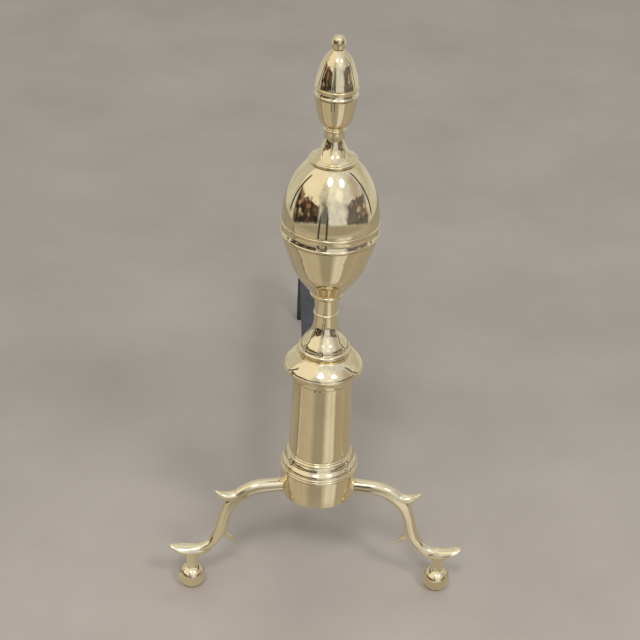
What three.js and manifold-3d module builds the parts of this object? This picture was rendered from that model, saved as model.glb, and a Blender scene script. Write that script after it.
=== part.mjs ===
// Andiron with a stacked brass column and a forged billet bar.
// Millimetres, +Z up, front towards -Y. The column pieces are modelled round
// the column's axis and the whole group is then moved so that the origin lies
// on the floor under the middle of the bounding box.
import * as THREE from 'three';
import { mergeVertices } from 'three/addons/utils/BufferGeometryUtils.js';
import Module from 'manifold-3d';

const wasm = await Module();
wasm.setup();

// ---------------------------------------------------------------- dimensions
const HEIGHT = 559; // floor to the top of the tip ball (22 in)
const ROD_R = 4.75; // tie rod, 3/8 in
const BORE_R = 5.15; // clearance bore through the brass pieces
const SEG_BIG = 28; // facets round the large turned pieces
const SEG_MID = 20;
const SEG_SMALL = 16;

const DRUM_R = 35.4;
const DRUM_Z0 = 107.7;
const DRUM_Z1 = 135.1;
const DRUM_WALL = 3.2;

const LEG_SPLAY = 9.3; // degrees in front of the side axis
const ARM_Z = 112.4; // height of the arm's centre line
const ARM_R = 7.0; // half of the arm's depth
const LEG_T = 12.6; // leg thickness across its plane
const LUG_R = 13.0;
const LUG_T = 4.2;
const LUG_Z = { right: 105.7, left: 110.2 }; // underside of each half-lap lug
const FOOT_RHO = 120.2; // ball foot's distance from the column axis
const BALL_R = 12.7; // 1 in ball
const PAD_R = 3.4; // flat under each ball foot

const BAR_W = 25.4; // 1 in billet bar
const BAR_T = 16.5;
const BAR_TOP = 120;
const BAR_Y1 = 483; // back of the rear leg
const BAR_BEND = 15; // inner radius of the rear bend
const TENON_Z0 = 114.8;
const TENON_Z1 = 118.5;
const TENON_W = 22;
const SHOULDER_Y = 37.4; // where the bar steps up behind the drum

// ------------------------------------------------------------------ helpers
const BRASS = { color: 0xb59c62, roughness: 0.16, metalness: 1 };
const IRON = { color: 0x3b3d41, roughness: 0.62, metalness: 0.75 };
const STEEL = { color: 0x77787a, roughness: 0.42, metalness: 1 };

function clean(geometry) {
  const g = geometry.index ? geometry.toNonIndexed() : geometry.clone();
  g.deleteAttribute('normal');
  g.deleteAttribute('uv');
  const m = mergeVertices(g, 1e-4);
  const p = m.attributes.position.array;
  const src = m.index.array;
  const out = [];
  let volume = 0;
  for (let i = 0; i < src.length; i += 3) {
    const [a, b, c] = [src[i], src[i + 1], src[i + 2]];
    if (a === b || b === c || a === c) continue;
    out.push(a, b, c);
    const [ax, ay, az] = [p[3 * a], p[3 * a + 1], p[3 * a + 2]];
    const [bx, by, bz] = [p[3 * b], p[3 * b + 1], p[3 * b + 2]];
    const [cx, cy, cz] = [p[3 * c], p[3 * c + 1], p[3 * c + 2]];
    volume += ax * (by * cz - bz * cy) + ay * (bz * cx - bx * cz) + az * (bx * cy - by * cx);
  }
  if (volume < 0) for (let i = 0; i < out.length; i += 3) [out[i + 1], out[i + 2]] = [out[i + 2], out[i + 1]];
  m.setIndex(out);
  return m;
}

function toSolid(geometry) {
  const m = clean(geometry);
  const mesh = new wasm.Mesh({
    numProp: 3,
    vertProperties: Float32Array.from(m.attributes.position.array),
    triVerts: Uint32Array.from(m.index.array),
  });
  return new wasm.Manifold(mesh);
}

function toGeometry(solid) {
  const mesh = solid.getMesh();
  const g = new THREE.BufferGeometry();
  g.setAttribute('position', new THREE.BufferAttribute(Float32Array.from(mesh.vertProperties), 3));
  g.setIndex(Array.from(mesh.triVerts));
  return g;
}

// A turned solid. Points are [radius, height]; the list starts and ends on the
// axis, or is closed by repeating its first point.
function turned(points, segments) {
  const first = points[0];
  const last = points[points.length - 1];
  const pts = points.map(([r, z]) => new THREE.Vector2(r, z));
  if (!(first[0] === 0 && last[0] === 0)) pts.push(new THREE.Vector2(first[0], first[1]));
  return new THREE.LatheGeometry(pts, segments).rotateX(Math.PI / 2);
}

const group = new THREE.Group();

function add(name, geometry, look) {
  const g = clean(geometry);
  g.computeVertexNormals();
  const mesh = new THREE.Mesh(g, new THREE.MeshStandardMaterial(look));
  mesh.name = name;
  group.add(mesh);
  return mesh;
}

function box(x0, x1, y0, y1, z0, z1) {
  return new THREE.BoxGeometry(x1 - x0, y1 - y0, z1 - z0).translate((x0 + x1) / 2, (y0 + y1) / 2, (z0 + z1) / 2);
}

function pillar(r, z0, z1, segments) {
  return new THREE.CylinderGeometry(r, r, z1 - z0, segments).rotateX(Math.PI / 2).translate(0, 0, (z0 + z1) / 2);
}

// --------------------------------------------------------- turned column, top
// Tip ball on its neck, with the stud that screws into the small lemon.
add('finial_ball', turned([
  [0, 541.2], [1.9, 541.2], [1.9, 547.5], [4.8, 547.5], [5.4, 549.2],
  [5.7, 551.8], [5.5, 554.8], [4.5, 557.1], [2.8, 558.4], [0, HEIGHT],
], SEG_SMALL), BRASS);

// Upper half of the small lemon; blind bore for the rod, register for the band.
add('small_lemon_top', turned([
  [0, 530], [BORE_R, 530], [BORE_R, 519.4], [14.5, 519.4], [14.5, 516.9],
  [17.7, 516.9], [17.2, 519.2], [15.9, 525.4], [14.4, 531.2], [13.5, 534.7], [12.5, 537.7], [10.4, 540.8],
  [7.5, 544.0], [4.4, 547.2], [2.3, 547.2], [2.3, 540.6], [0, 540.6],
], SEG_MID), BRASS);

// Girdle of the small lemon: two raised reeds with a groove between them.
add('small_lemon_band', turned([
  [9.5, 504.8], [13.9, 504.8], [13.9, 507.9], [17.5, 507.9], [18.2, 508.7], [18.2, 509.8], [17.6, 510.8],
  [17.3, 512.4], [17.5, 513.8], [18.2, 514.6], [18.2, 515.7], [17.7, 516.6], [13.9, 516.6], [13.9, 518.8], [9.5, 518.8],
], SEG_MID), BRASS);

add('small_lemon_bottom', turned([
  [BORE_R, 480.6], [8.4, 480.6], [9.3, 481.3], [12.5, 484.1], [14.0, 487.4], [15.0, 490.9], [16.3, 497.6], [17.0, 502.7],
  [17.45, 507.6], [14.5, 507.6], [14.5, 504.2], [BORE_R, 504.2],
], SEG_MID), BRASS);

// Foot of the upper finial: astragal, waisted neck and flared rim.
add('finial_socle', turned([
  [BORE_R, 449.4], [20.3, 449.4], [20.9, 450.6], [20.8, 452.0], [19.9, 452.9], [18.4, 453.3], [15.8, 454.3],
  [13.5, 455.9], [11.7, 458.1], [10.2, 461.2], [9.1, 464.8], [8.4, 469.2], [8.3, 474.4], [8.4, 476.6], [9.0, 477.4],
  [9.15, 478.6], [8.8, 479.7], [8.2, 480.3], [BORE_R, 480.3],
], SEG_MID), BRASS);

// ------------------------------------------------------------ large lemon urn
add('large_lemon_top', turned([
  [BORE_R, 446.0], [BORE_R, 449.1], [19.8, 449.1], [20.6, 448.6], [24.6, 444.5], [28.3, 440.3], [32.0, 434.3],
  [35.4, 427.8], [38.3, 421.0], [40.3, 412.4], [41.6, 402.6], [42.1, 395.8], [39.0, 395.8], [38.4, 402.2],
  [37.2, 411.6], [33.0, 425.2], [26.0, 438.0], [17.9, 446.0],
], SEG_BIG), BRASS);

// Girdle with a bead at each edge; its inner ring registers both shells.
add('large_lemon_band', turned([
  [34.6, 378.2], [36.8, 378.2], [37.9, 381.9], [41.8, 381.9], [42.75, 382.9], [42.75, 384.1], [42.1, 385.3],
  [41.2, 389.8], [42.0, 392.4], [42.75, 393.4], [42.75, 394.6], [41.8, 395.5], [38.6, 395.5], [37.6, 399.4], [34.6, 399.4],
], SEG_BIG), BRASS);

add('large_lemon_bottom', turned([
  [BORE_R, 328.6], [13.6, 328.6], [21.0, 337.0], [28.0, 347.5], [31.8, 359.5], [35.6, 371.0], [38.3, 381.6], [41.7, 381.6],
  [40.9, 377.6], [38.6, 369.8], [36.2, 362.0], [33.6, 354.2], [31.0, 348.0], [27.6, 341.6], [23.5, 335.6], [19.4, 330.2],
  [15.3, 324.5], [BORE_R, 324.5],
], SEG_BIG), BRASS);

// --------------------------------------------------------- collar, spool, cap
add('neck_collar', turned([
  [BORE_R, 318.5], [12.0, 318.5], [12.4, 319.4], [14.4, 320.0], [15.15, 321.2], [15.15, 322.2], [14.4, 323.5],
  [14.0, 324.2], [BORE_R, 324.2],
], SEG_MID), BRASS);

add('neck_spool', turned([
  [BORE_R, 262.2], [22.4, 262.2], [23.6, 263.3], [24.0, 264.9], [23.4, 266.7], [21.8, 267.9], [21.0, 270.4],
  [19.3, 273.8], [16.5, 277.4], [13.9, 281.4], [11.9, 285.8], [10.7, 290.6], [10.2, 296.0], [10.25, 300.0],
  [11.15, 300.9], [11.15, 302.3], [10.25, 303.2], [10.15, 308.0], [10.7, 313.4], [11.7, 318.2], [BORE_R, 318.2],
], SEG_MID), BRASS);

add('capital', turned([
  [BORE_R, 258.0], [16.0, 257.0], [23.0, 250.5], [22.6, 243.0], [20.6, 239.0], [20.6, 229.8], [23.9, 229.8],
  [23.9, 234.8], [27.2, 234.8], [27.9, 238.4], [29.2, 241.4], [31.4, 243.9], [34.6, 245.8], [36.1, 247.0],
  [36.3, 248.5], [35.5, 250.6], [33.4, 253.1], [30.5, 255.9], [27.9, 258.2], [25.1, 260.6], [24.3, 261.9],
  [BORE_R, 261.9],
], SEG_BIG), BRASS);

add('column_tube', turned([
  [26.4, 155.0], [28.9, 155.0], [28.0, 195.0], [27.1, 234.5], [24.5, 234.5], [25.5, 195.0],
], SEG_BIG), BRASS);

// Base moulding: two beads, a cavetto and a reeded rim; a spigot centres the tube.
add('base_moulding', turned([
  [BORE_R, 135.4], [35.7, 135.4], [36.3, 136.3], [36.3, 139.4], [35.6, 140.6], [35.3, 142.2], [34.6, 143.8],
  [32.6, 145.6], [31.1, 148.4], [30.5, 149.8], [30.6, 151.4], [29.7, 152.6], [29.4, 153.8], [29.0, 154.7],
  [25.8, 154.7], [25.8, 160.0], [22.4, 160.0], [22.4, 139.4], [BORE_R, 139.4],
], SEG_BIG), BRASS);

// ------------------------------------------------------------------ the drum
// A cup open below, notched for the two arms and slotted behind for the tenon.
const splay = THREE.MathUtils.degToRad(LEG_SPLAY);
const legTurn = { right: -splay, left: Math.PI + splay };
{
  let drum = toSolid(turned([
    [BORE_R, DRUM_Z1 - DRUM_WALL], [DRUM_R - DRUM_WALL - 1.5, DRUM_Z1 - DRUM_WALL], [DRUM_R - DRUM_WALL, DRUM_Z1 - DRUM_WALL - 1.5],
    [DRUM_R - DRUM_WALL, DRUM_Z0], [DRUM_R - 0.5, DRUM_Z0], [DRUM_R, DRUM_Z0 + 0.5], [DRUM_R, DRUM_Z1 - 0.5], [DRUM_R - 0.5, DRUM_Z1],
    [BORE_R, DRUM_Z1],
  ], SEG_BIG));
  for (const side of ['left', 'right']) {
    const half = LEG_T / 2 + 0.8;
    const top = ARM_Z + ARM_R + 0.8;
    const notch = new THREE.Shape()
      .moveTo(-half, 90).lineTo(half, 90).lineTo(half, top - 2.4).lineTo(half - 2.4, top).lineTo(-half + 2.4, top).lineTo(-half, top - 2.4);
    const cut = new THREE.ExtrudeGeometry(notch, { depth: 30, bevelEnabled: false })
      .rotateX(Math.PI / 2).rotateZ(Math.PI / 2).translate(20, 0, 0).rotateZ(legTurn[side]);
    drum = drum.subtract(toSolid(cut));
  }
  drum = drum.subtract(toSolid(box(-TENON_W / 2 - 0.6, TENON_W / 2 + 0.6, 20, 50, 90, TENON_Z1 + 0.6)));
  add('drum', toGeometry(drum), BRASS);
}

add('drum_spacer', turned([
  [BORE_R, TENON_Z1 + 0.3], [9, TENON_Z1 + 0.3], [9, DRUM_Z1 - DRUM_WALL - 0.3], [BORE_R, DRUM_Z1 - DRUM_WALL - 0.3],
], SEG_SMALL), STEEL);

// -------------------------------------------------------------- cabriole legs
// Outlines are in the leg's own plane: [distance from the column axis, height].
const legOutline = [
  [15.5, ARM_Z - ARM_R], [40, ARM_Z - ARM_R], [53, 105.0], [60, 103.6], [66, 100.9], [71.6, 97.4], [76.3, 92.2], [80.3, 86.7],
  [82.8, 80.5], [84.2, 73.5], [85.2, 66.0], [88.0, 59.0], [92.8, 51.8], [98.8, 43.8], [106, 37.7], [113, 35.2],
  [120, 35.0], [126, 37.5], [126, 46.8], [118, 47.2], [112, 47.7], [106, 51.5], [100.8, 58.5], [97.6, 68],
  [95.3, 78.7], [92, 89.2], [88.6, 98.4], [84.0, 105.2], [78.6, 110.0], [70.9, 114.9], [61, 118.6], [50, ARM_Z + ARM_R], [15.5, ARM_Z + ARM_R],
];
const outerSpur = [[80, 100], [89.4, 97.5], [91.4, 102.4], [95.4, 107.0], [98.6, 113.1], [94.0, 111.6], [90.2, 109.7], [83.4, 108.6], [78, 109]];
const innerSpur = [[88.5, 70], [85.3, 67.5], [83.4, 60.6], [77.6, 50.2], [79.0, 48.4], [83.4, 51.2], [88.6, 54.4], [93, 62]];

function plate(outline, thickness, bevel, steps) {
  const shape = new THREE.Shape(outline.map(([a, b]) => new THREE.Vector2(a, b)));
  const options = bevel > 0
    ? { depth: thickness - 2 * bevel, bevelEnabled: true, bevelThickness: bevel, bevelSize: bevel, bevelOffset: -bevel, bevelSegments: steps }
    : { depth: thickness, bevelEnabled: false };
  const g = new THREE.ExtrudeGeometry(shape, options);
  return g.translate(0, 0, bevel > 0 ? -(thickness - 2 * bevel) / 2 : -thickness / 2).rotateX(Math.PI / 2);
}

// Leaf-shaped toe, drawn from above and tilted up towards its tip.
function toePad() {
  const leaf = [
    [-8, -3.2], [-4, -4.8], [0, -5.4], [6, -6.4], [12, -7.2], [17, -7.1], [22, -5.8], [26.5, -3.2], [29.5, -0.5],
    [29.5, 0.5], [26.5, 3.2], [22, 5.8], [17, 7.1], [12, 7.2], [6, 6.4], [0, 5.4], [-4, 4.8], [-8, 3.2],
  ];
  const slab = (scale, thickness) => {
    const shape = new THREE.Shape(leaf.map(([a, b]) => new THREE.Vector2(10 + (a - 10) * scale, b * scale)));
    return toSolid(new THREE.ExtrudeGeometry(shape, { depth: thickness, bevelEnabled: false })
      .translate(0, 0, -thickness / 2).rotateY(-THREE.MathUtils.degToRad(14)).translate(113.4, 0, 42.1));
  };
  return slab(1, 3.4).add(slab(0.84, 8.6));
}

for (const side of ['left', 'right']) {
  const z0 = LUG_Z[side];
  let leg = toSolid(plate(legOutline, LEG_T, 3.4, 2));
  leg = leg.add(toSolid(plate(outerSpur, 7.0, 0, 1)));
  leg = leg.add(toSolid(plate(innerSpur, 5.6, 0, 1)));
  leg = leg.add(toePad());
  leg = leg.add(toSolid(pillar(5.8, 24.3, 40, SEG_SMALL).translate(FOOT_RHO, 0, 0)));
  leg = leg.add(toSolid(pillar(2.9, 16.6, 30, 12).translate(FOOT_RHO, 0, 0)));
  // half-lap lug round the tie rod
  leg = leg.add(toSolid(pillar(LUG_R, z0, z0 + LUG_T, SEG_MID)));
  leg = leg.add(toSolid(box(0, 22, -5.2, 5.2, z0, z0 + LUG_T)));
  leg = leg.subtract(toSolid(pillar(BORE_R, z0 - 5, z0 + LUG_T + 5, SEG_SMALL)));
  const g = toGeometry(leg).rotateZ(legTurn[side]);
  add(`leg_${side}`, g, BRASS);

  // ball foot, flattened a little where it stands, bored for the leg's stud
  const centre = Math.sqrt(BALL_R * BALL_R - PAD_R * PAD_R);
  const profile = [[0, 16.2], [3.3, 16.2], [3.3, centre + Math.sqrt(BALL_R * BALL_R - 25)], [5.0, centre + Math.sqrt(BALL_R * BALL_R - 25)]];
  for (let k = 1; k < 12; k++) {
    const a0 = Math.acos(5.0 / BALL_R);
    const a1 = -Math.acos(PAD_R / BALL_R);
    const a = a0 + ((a1 - a0) * k) / 12;
    profile.push([BALL_R * Math.cos(a), centre + BALL_R * Math.sin(a)]);
  }
  profile.push([PAD_R, 0], [0, 0]);
  add(`ball_foot_${side}`, turned(profile, SEG_SMALL + 2).translate(FOOT_RHO, 0, 0).rotateZ(legTurn[side]), BRASS);
}

// ---------------------------------------------------------------- billet bar
// Side outline in [y, z]: tenon in the drum, shoulder, long bar, bend, rear leg.
{
  const outline = [[SHOULDER_Y, BAR_TOP], [SHOULDER_Y, BAR_TOP - BAR_T], [BAR_Y1 - BAR_T - BAR_BEND, BAR_TOP - BAR_T]];
  const cy = BAR_Y1 - BAR_T - BAR_BEND;
  const cz = BAR_TOP - BAR_T - BAR_BEND;
  const steps = 6;
  for (let k = 1; k <= steps; k++) {
    const a = (Math.PI / 2) * (1 - k / steps);
    outline.push([cy + BAR_BEND * Math.cos(a), cz + BAR_BEND * Math.sin(a)]);
  }
  outline.push([BAR_Y1 - BAR_T, 0], [BAR_Y1, 0]);
  for (let k = 0; k <= steps; k++) {
    const a = (Math.PI / 2) * (k / steps);
    outline.push([cy + (BAR_BEND + BAR_T) * Math.cos(a), cz + (BAR_BEND + BAR_T) * Math.sin(a)]);
  }
  const shape = new THREE.Shape(outline.map(([y, z]) => new THREE.Vector2(y, z)));
  const g = new THREE.ExtrudeGeometry(shape, { depth: BAR_W, bevelEnabled: false })
    .translate(0, 0, -BAR_W / 2).rotateX(Math.PI / 2).rotateZ(Math.PI / 2);
  let bar = toSolid(g);
  bar = bar.add(toSolid(box(-TENON_W / 2, TENON_W / 2, -12, SHOULDER_Y + 4, TENON_Z0, TENON_Z1)));
  bar = bar.subtract(toSolid(pillar(BORE_R, TENON_Z0 - 5, TENON_Z1 + 5, SEG_SMALL)));
  add('billet_bar', toGeometry(bar), IRON);
}

// ------------------------------------------------------- tie rod and its nut
add('tie_rod', turned([
  [0, 90.6], [ROD_R - 1, 90.6], [ROD_R, 91.6], [ROD_R, 527.6], [ROD_R - 1, 528.6], [0, 528.6],
], 16), STEEL);

add('clamp_washer', turned([[BORE_R, 103.2], [12, 103.2], [12, 105.4], [BORE_R, 105.4]], SEG_SMALL), STEEL);

{
  const hex = new THREE.Shape();
  for (let k = 0; k < 6; k++) {
    const a = (k * Math.PI) / 3;
    const r = 17 / Math.sqrt(3);
    if (k === 0) hex.moveTo(r * Math.cos(a), r * Math.sin(a));
    else hex.lineTo(r * Math.cos(a), r * Math.sin(a));
  }
  const nut = toSolid(new THREE.ExtrudeGeometry(hex, { depth: 7.9, bevelEnabled: false }).translate(0, 0, 95.0))
    .subtract(toSolid(pillar(BORE_R, 90, 110, SEG_SMALL)));
  add('tie_rod_nut', toGeometry(nut), STEEL);
}

// -------------------------------------------- origin: floor, middle of the box
{
  const bounds = new THREE.Box3().setFromObject(group);
  const shift = -(bounds.min.y + bounds.max.y) / 2;
  for (const mesh of group.children) mesh.position.y = shift;
}

export default group;
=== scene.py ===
import math

import bmesh
import bpy
from mathutils import Matrix, Vector

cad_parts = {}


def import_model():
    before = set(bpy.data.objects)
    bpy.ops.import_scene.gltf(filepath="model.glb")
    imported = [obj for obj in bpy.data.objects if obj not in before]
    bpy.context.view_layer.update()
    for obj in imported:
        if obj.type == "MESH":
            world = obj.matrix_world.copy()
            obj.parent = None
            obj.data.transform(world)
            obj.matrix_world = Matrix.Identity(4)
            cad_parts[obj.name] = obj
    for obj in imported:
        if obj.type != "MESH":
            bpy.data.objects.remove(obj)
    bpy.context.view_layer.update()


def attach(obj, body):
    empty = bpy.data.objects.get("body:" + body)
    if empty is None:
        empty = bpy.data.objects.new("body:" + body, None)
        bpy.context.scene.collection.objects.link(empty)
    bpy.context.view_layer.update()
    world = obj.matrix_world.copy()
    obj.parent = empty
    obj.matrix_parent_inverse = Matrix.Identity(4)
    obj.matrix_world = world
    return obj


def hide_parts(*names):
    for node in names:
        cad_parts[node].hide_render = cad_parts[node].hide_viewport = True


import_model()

MM = 0.001
COL_Y = -220.125  # column axis in the shared frame, mm
BORE = 5.15
SEG = 176  # facets round a turned piece


# ------------------------------------------------------------------- outlines
def catmull(points, per=6):
    """Smooth open curve through the points, centripetal."""
    pts = [Vector((p[0], p[1])) for p in points]
    pts = [pts[0] * 2 - pts[1]] + pts + [pts[-1] * 2 - pts[-2]]
    out = []
    for i in range(1, len(pts) - 2):
        p0, p1, p2, p3 = pts[i - 1: i + 3]
        t = [0.0]
        for a, b in ((p0, p1), (p1, p2), (p2, p3)):
            t.append(t[-1] + max((b - a).length, 1e-6) ** 0.5)
        for k in range(per):
            u = t[1] + (t[2] - t[1]) * k / per
            a1 = p0 * ((t[1] - u) / (t[1] - t[0])) + p1 * ((u - t[0]) / (t[1] - t[0]))
            a2 = p1 * ((t[2] - u) / (t[2] - t[1])) + p2 * ((u - t[1]) / (t[2] - t[1]))
            a3 = p2 * ((t[3] - u) / (t[3] - t[2])) + p3 * ((u - t[2]) / (t[3] - t[2]))
            b1 = a1 * ((t[2] - u) / (t[2] - t[0])) + a2 * ((u - t[0]) / (t[2] - t[0]))
            b2 = a2 * ((t[3] - u) / (t[3] - t[1])) + a3 * ((u - t[1]) / (t[3] - t[1]))
            c = b1 * ((t[2] - u) / (t[2] - t[1])) + b2 * ((u - t[1]) / (t[2] - t[1]))
            out.append((c.x, c.y))
    out.append((points[-1][0], points[-1][1]))
    return out


def bulge(a, h, n, m, z0, sign, za, zb, count):
    """Lemon-shaped quarter curve r(z), from za to zb."""
    out = []
    for k in range(count):
        z = za + (zb - za) * k / (count - 1)
        t = min(max(sign * (z - z0) / h, 0.0), 0.9999)
        out.append((a * (1 - t ** n) ** (1 / m), z))
    return out


def arc(cx, cz, r, a0, a1, count):
    """Arc of a bead or rim, angles in degrees from the outward direction."""
    return [
        (cx + r * math.cos(math.radians(a0 + (a1 - a0) * k / (count - 1))), cz + r * math.sin(math.radians(a0 + (a1 - a0) * k / (count - 1))))
        for k in range(count)
    ]


# --------------------------------------------------------------------- meshes
def mark_edges(bm, angle):
    bm.normal_update()
    for f in bm.faces:
        f.smooth = True
    for e in bm.edges:
        if len(e.link_faces) == 2:
            e.smooth = e.calc_face_angle(0.0) < math.radians(angle)


def finish_mesh(bm, name, angle=32):
    bmesh.ops.remove_doubles(bm, verts=bm.verts, dist=1e-7)
    bmesh.ops.recalc_face_normals(bm, faces=bm.faces)
    if bm.calc_volume(signed=True) < 0:
        bmesh.ops.reverse_faces(bm, faces=bm.faces)
    mark_edges(bm, angle)
    me = bpy.data.meshes.new(name)
    bm.to_mesh(me)
    bm.free()
    ob = bpy.data.objects.new(name, me)
    bpy.context.scene.collection.objects.link(ob)
    return ob


def lathe_bm(outline, seg=SEG, cx=0.0, cy=COL_Y):
    """Solid of revolution round a vertical axis. The outline starts and ends on the axis, or closes on itself."""
    pts = []
    for p in outline:
        if not pts or (abs(p[0] - pts[-1][0]) + abs(p[1] - pts[-1][1])) > 1e-4:
            pts.append((max(p[0], 0.0), p[1]))
    closed = not (pts[0][0] < 1e-6 and pts[-1][0] < 1e-6)
    bm = bmesh.new()
    rings = []
    for r, z in pts:
        if r < 1e-6:
            rings.append([bm.verts.new((cx * MM, cy * MM, z * MM))])
        else:
            rings.append([
                bm.verts.new(((cx + r * math.sin(2 * math.pi * k / seg)) * MM, (cy - r * math.cos(2 * math.pi * k / seg)) * MM, z * MM))
                for k in range(seg)
            ])
    pairs = list(zip(rings[:-1], rings[1:])) + ([(rings[-1], rings[0])] if closed else [])
    for a, b in pairs:
        for k in range(seg):
            j = (k + 1) % seg
            if len(a) == 1 and len(b) == 1:
                continue
            if len(a) == 1:
                bm.faces.new((a[0], b[k], b[j]))
            elif len(b) == 1:
                bm.faces.new((a[k], b[0], a[j]))
            else:
                bm.faces.new((a[k], b[k], b[j], a[j]))
    return bm


def bevel(ob, width, angle=32, segments=2):
    mod = ob.modifiers.new("edge", "BEVEL")
    mod.width = width * MM
    mod.segments = segments
    mod.limit_method = "ANGLE"
    mod.angle_limit = math.radians(angle)
    mod.use_clamp_overlap = True
    mod.miter_outer = "MITER_ARC"
    return mod


def bake_modifiers(ob, angle=32):
    """Applies the modifiers, so the piece's mesh is what is seen."""
    dg = bpy.context.evaluated_depsgraph_get()
    me = bpy.data.meshes.new_from_object(ob.evaluated_get(dg))
    ob.modifiers.clear()
    old = ob.data
    ob.data = me
    bpy.data.meshes.remove(old)
    bm = bmesh.new()
    bm.from_mesh(me)
    bmesh.ops.remove_doubles(bm, verts=bm.verts, dist=2e-7)
    bmesh.ops.dissolve_degenerate(bm, edges=bm.edges, dist=2e-7)
    mark_edges(bm, angle)
    bm.to_mesh(me)
    bm.free()


def boolean(ob, other, operation):
    mod = ob.modifiers.new("bool", "BOOLEAN")
    mod.operation = operation
    mod.solver = "EXACT"
    mod.object = other
    dg = bpy.context.evaluated_depsgraph_get()
    me = bpy.data.meshes.new_from_object(ob.evaluated_get(dg))
    ob.modifiers.clear()
    old = ob.data
    ob.data = me
    bpy.data.meshes.remove(old)
    om = other.data
    bpy.data.objects.remove(other)
    bpy.data.meshes.remove(om)


def place(ob, node, material):
    ob.data.materials.clear()
    ob.data.materials.append(material)
    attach(ob, "root")
    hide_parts(node)
    return ob


# ------------------------------------------------------------------ materials
def node_tree(name):
    mat = bpy.data.materials.new(name)
    mat.use_nodes = True
    nt = mat.node_tree
    bsdf = nt.nodes["Principled BSDF"]
    return mat, nt, bsdf


def new(nt, kind, **values):
    n = nt.nodes.new(kind)
    for k, v in values.items():
        setattr(n, k, v)
    return n


def noise(nt, vector, scale, detail=3.0, rough=0.55):
    n = new(nt, "ShaderNodeTexNoise")
    n.inputs["Scale"].default_value = scale
    n.inputs["Detail"].default_value = detail
    n.inputs["Roughness"].default_value = rough
    nt.links.new(vector, n.inputs["Vector"])
    return n.outputs["Fac"]


def ramp(nt, value, stops):
    n = new(nt, "ShaderNodeValToRGB")
    el = n.color_ramp.elements
    while len(el) > 1:
        el.remove(el[-1])
    for i, (pos, col) in enumerate(stops):
        e = el[0] if i == 0 else el.new(pos)
        e.position = pos
        e.color = (*col, 1) if len(col) == 3 else col
    nt.links.new(value, n.inputs["Fac"])
    return n.outputs["Color"]


def mapping(nt, vector, scale=(1, 1, 1), location=(0, 0, 0)):
    n = new(nt, "ShaderNodeMapping")
    n.inputs["Scale"].default_value = scale
    n.inputs["Location"].default_value = location
    nt.links.new(vector, n.inputs["Vector"])
    return n.outputs["Vector"]


def math_node(nt, op, a, b=None, clamp=False):
    n = new(nt, "ShaderNodeMath", operation=op, use_clamp=clamp)
    for i, v in enumerate((a, b)):
        if v is None:
            continue
        if isinstance(v, (int, float)):
            n.inputs[i].default_value = v
        else:
            nt.links.new(v, n.inputs[i])
    return n.outputs[0]


def bump_chain(nt, bsdf, layers):
    last = None
    for height, strength, distance in layers:
        b = new(nt, "ShaderNodeBump")
        b.inputs["Strength"].default_value = strength
        b.inputs["Distance"].default_value = distance
        nt.links.new(height, b.inputs["Height"])
        if last is not None:
            nt.links.new(last, b.inputs["Normal"])
        last = b.outputs["Normal"]
    nt.links.new(last, bsdf.inputs["Normal"])


def brass(name, turned):
    """Hand-polished brass. Turned pieces carry faint rings left by the lathe."""
    mat, nt, bsdf = node_tree(name)
    co = new(nt, "ShaderNodeTexCoord").outputs["Object"]
    bsdf.inputs["Metallic"].default_value = 1.0
    cloud = noise(nt, mapping(nt, co, location=(3.1, 1.7, 0.4)), 26.0, 4.0, 0.6)
    speck = noise(nt, mapping(nt, co, location=(0.3, 5.7, 2.4)), 900.0, 2.0, 0.5)
    mixed = math_node(nt, "ADD", math_node(nt, "MULTIPLY", cloud, 0.85), math_node(nt, "MULTIPLY", speck, 0.15))
    colour = ramp(nt, mixed, [(0.28, (0.745, 0.63, 0.385)), (0.45, (0.825, 0.715, 0.468)), (0.62, (0.865, 0.76, 0.52)), (0.80, (0.795, 0.68, 0.43))])
    paler = new(nt, "ShaderNodeMix", data_type="RGBA", blend_type="MULTIPLY")
    paler.inputs[0].default_value = 1.0
    nt.links.new(colour, paler.inputs[6])
    paler.inputs[7].default_value = (1, 1, 1, 1) if turned else (1.03, 1.06, 1.13, 1)
    nt.links.new(paler.outputs[2], bsdf.inputs["Base Color"])
    smear = noise(nt, mapping(nt, co, scale=(1, 1, 2.6), location=(1.3, 0.2, 7.7)), 38.0, 5.0, 0.62)
    rough = ramp(nt, smear, [(0.28, (0.035,) * 3), (0.50, (0.05,) * 3), (0.64, (0.085,) * 3), (0.82, (0.17,) * 3)])
    nt.links.new(rough, bsdf.inputs["Roughness"])
    layers = [(noise(nt, co, 55.0, 2.0, 0.5), 0.10, 0.0006)]
    if turned:
        rings = noise(nt, mapping(nt, co, scale=(14, 14, 2600)), 1.0, 2.0, 0.6)
        layers.append((rings, 0.10, 0.00004))
    else:
        layers.append((noise(nt, co, 160.0, 2.0, 0.5), 0.10, 0.0003))
    scratch = noise(nt, mapping(nt, co, scale=(900, 1500, 60), location=(2, 8, 1)), 1.0, 3.0, 0.7)
    layers.append((ramp(nt, scratch, [(0.60, (0, 0, 0)), (0.66, (1, 1, 1))]), 0.05, 0.00003))
    bump_chain(nt, bsdf, layers)
    return mat


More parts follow.
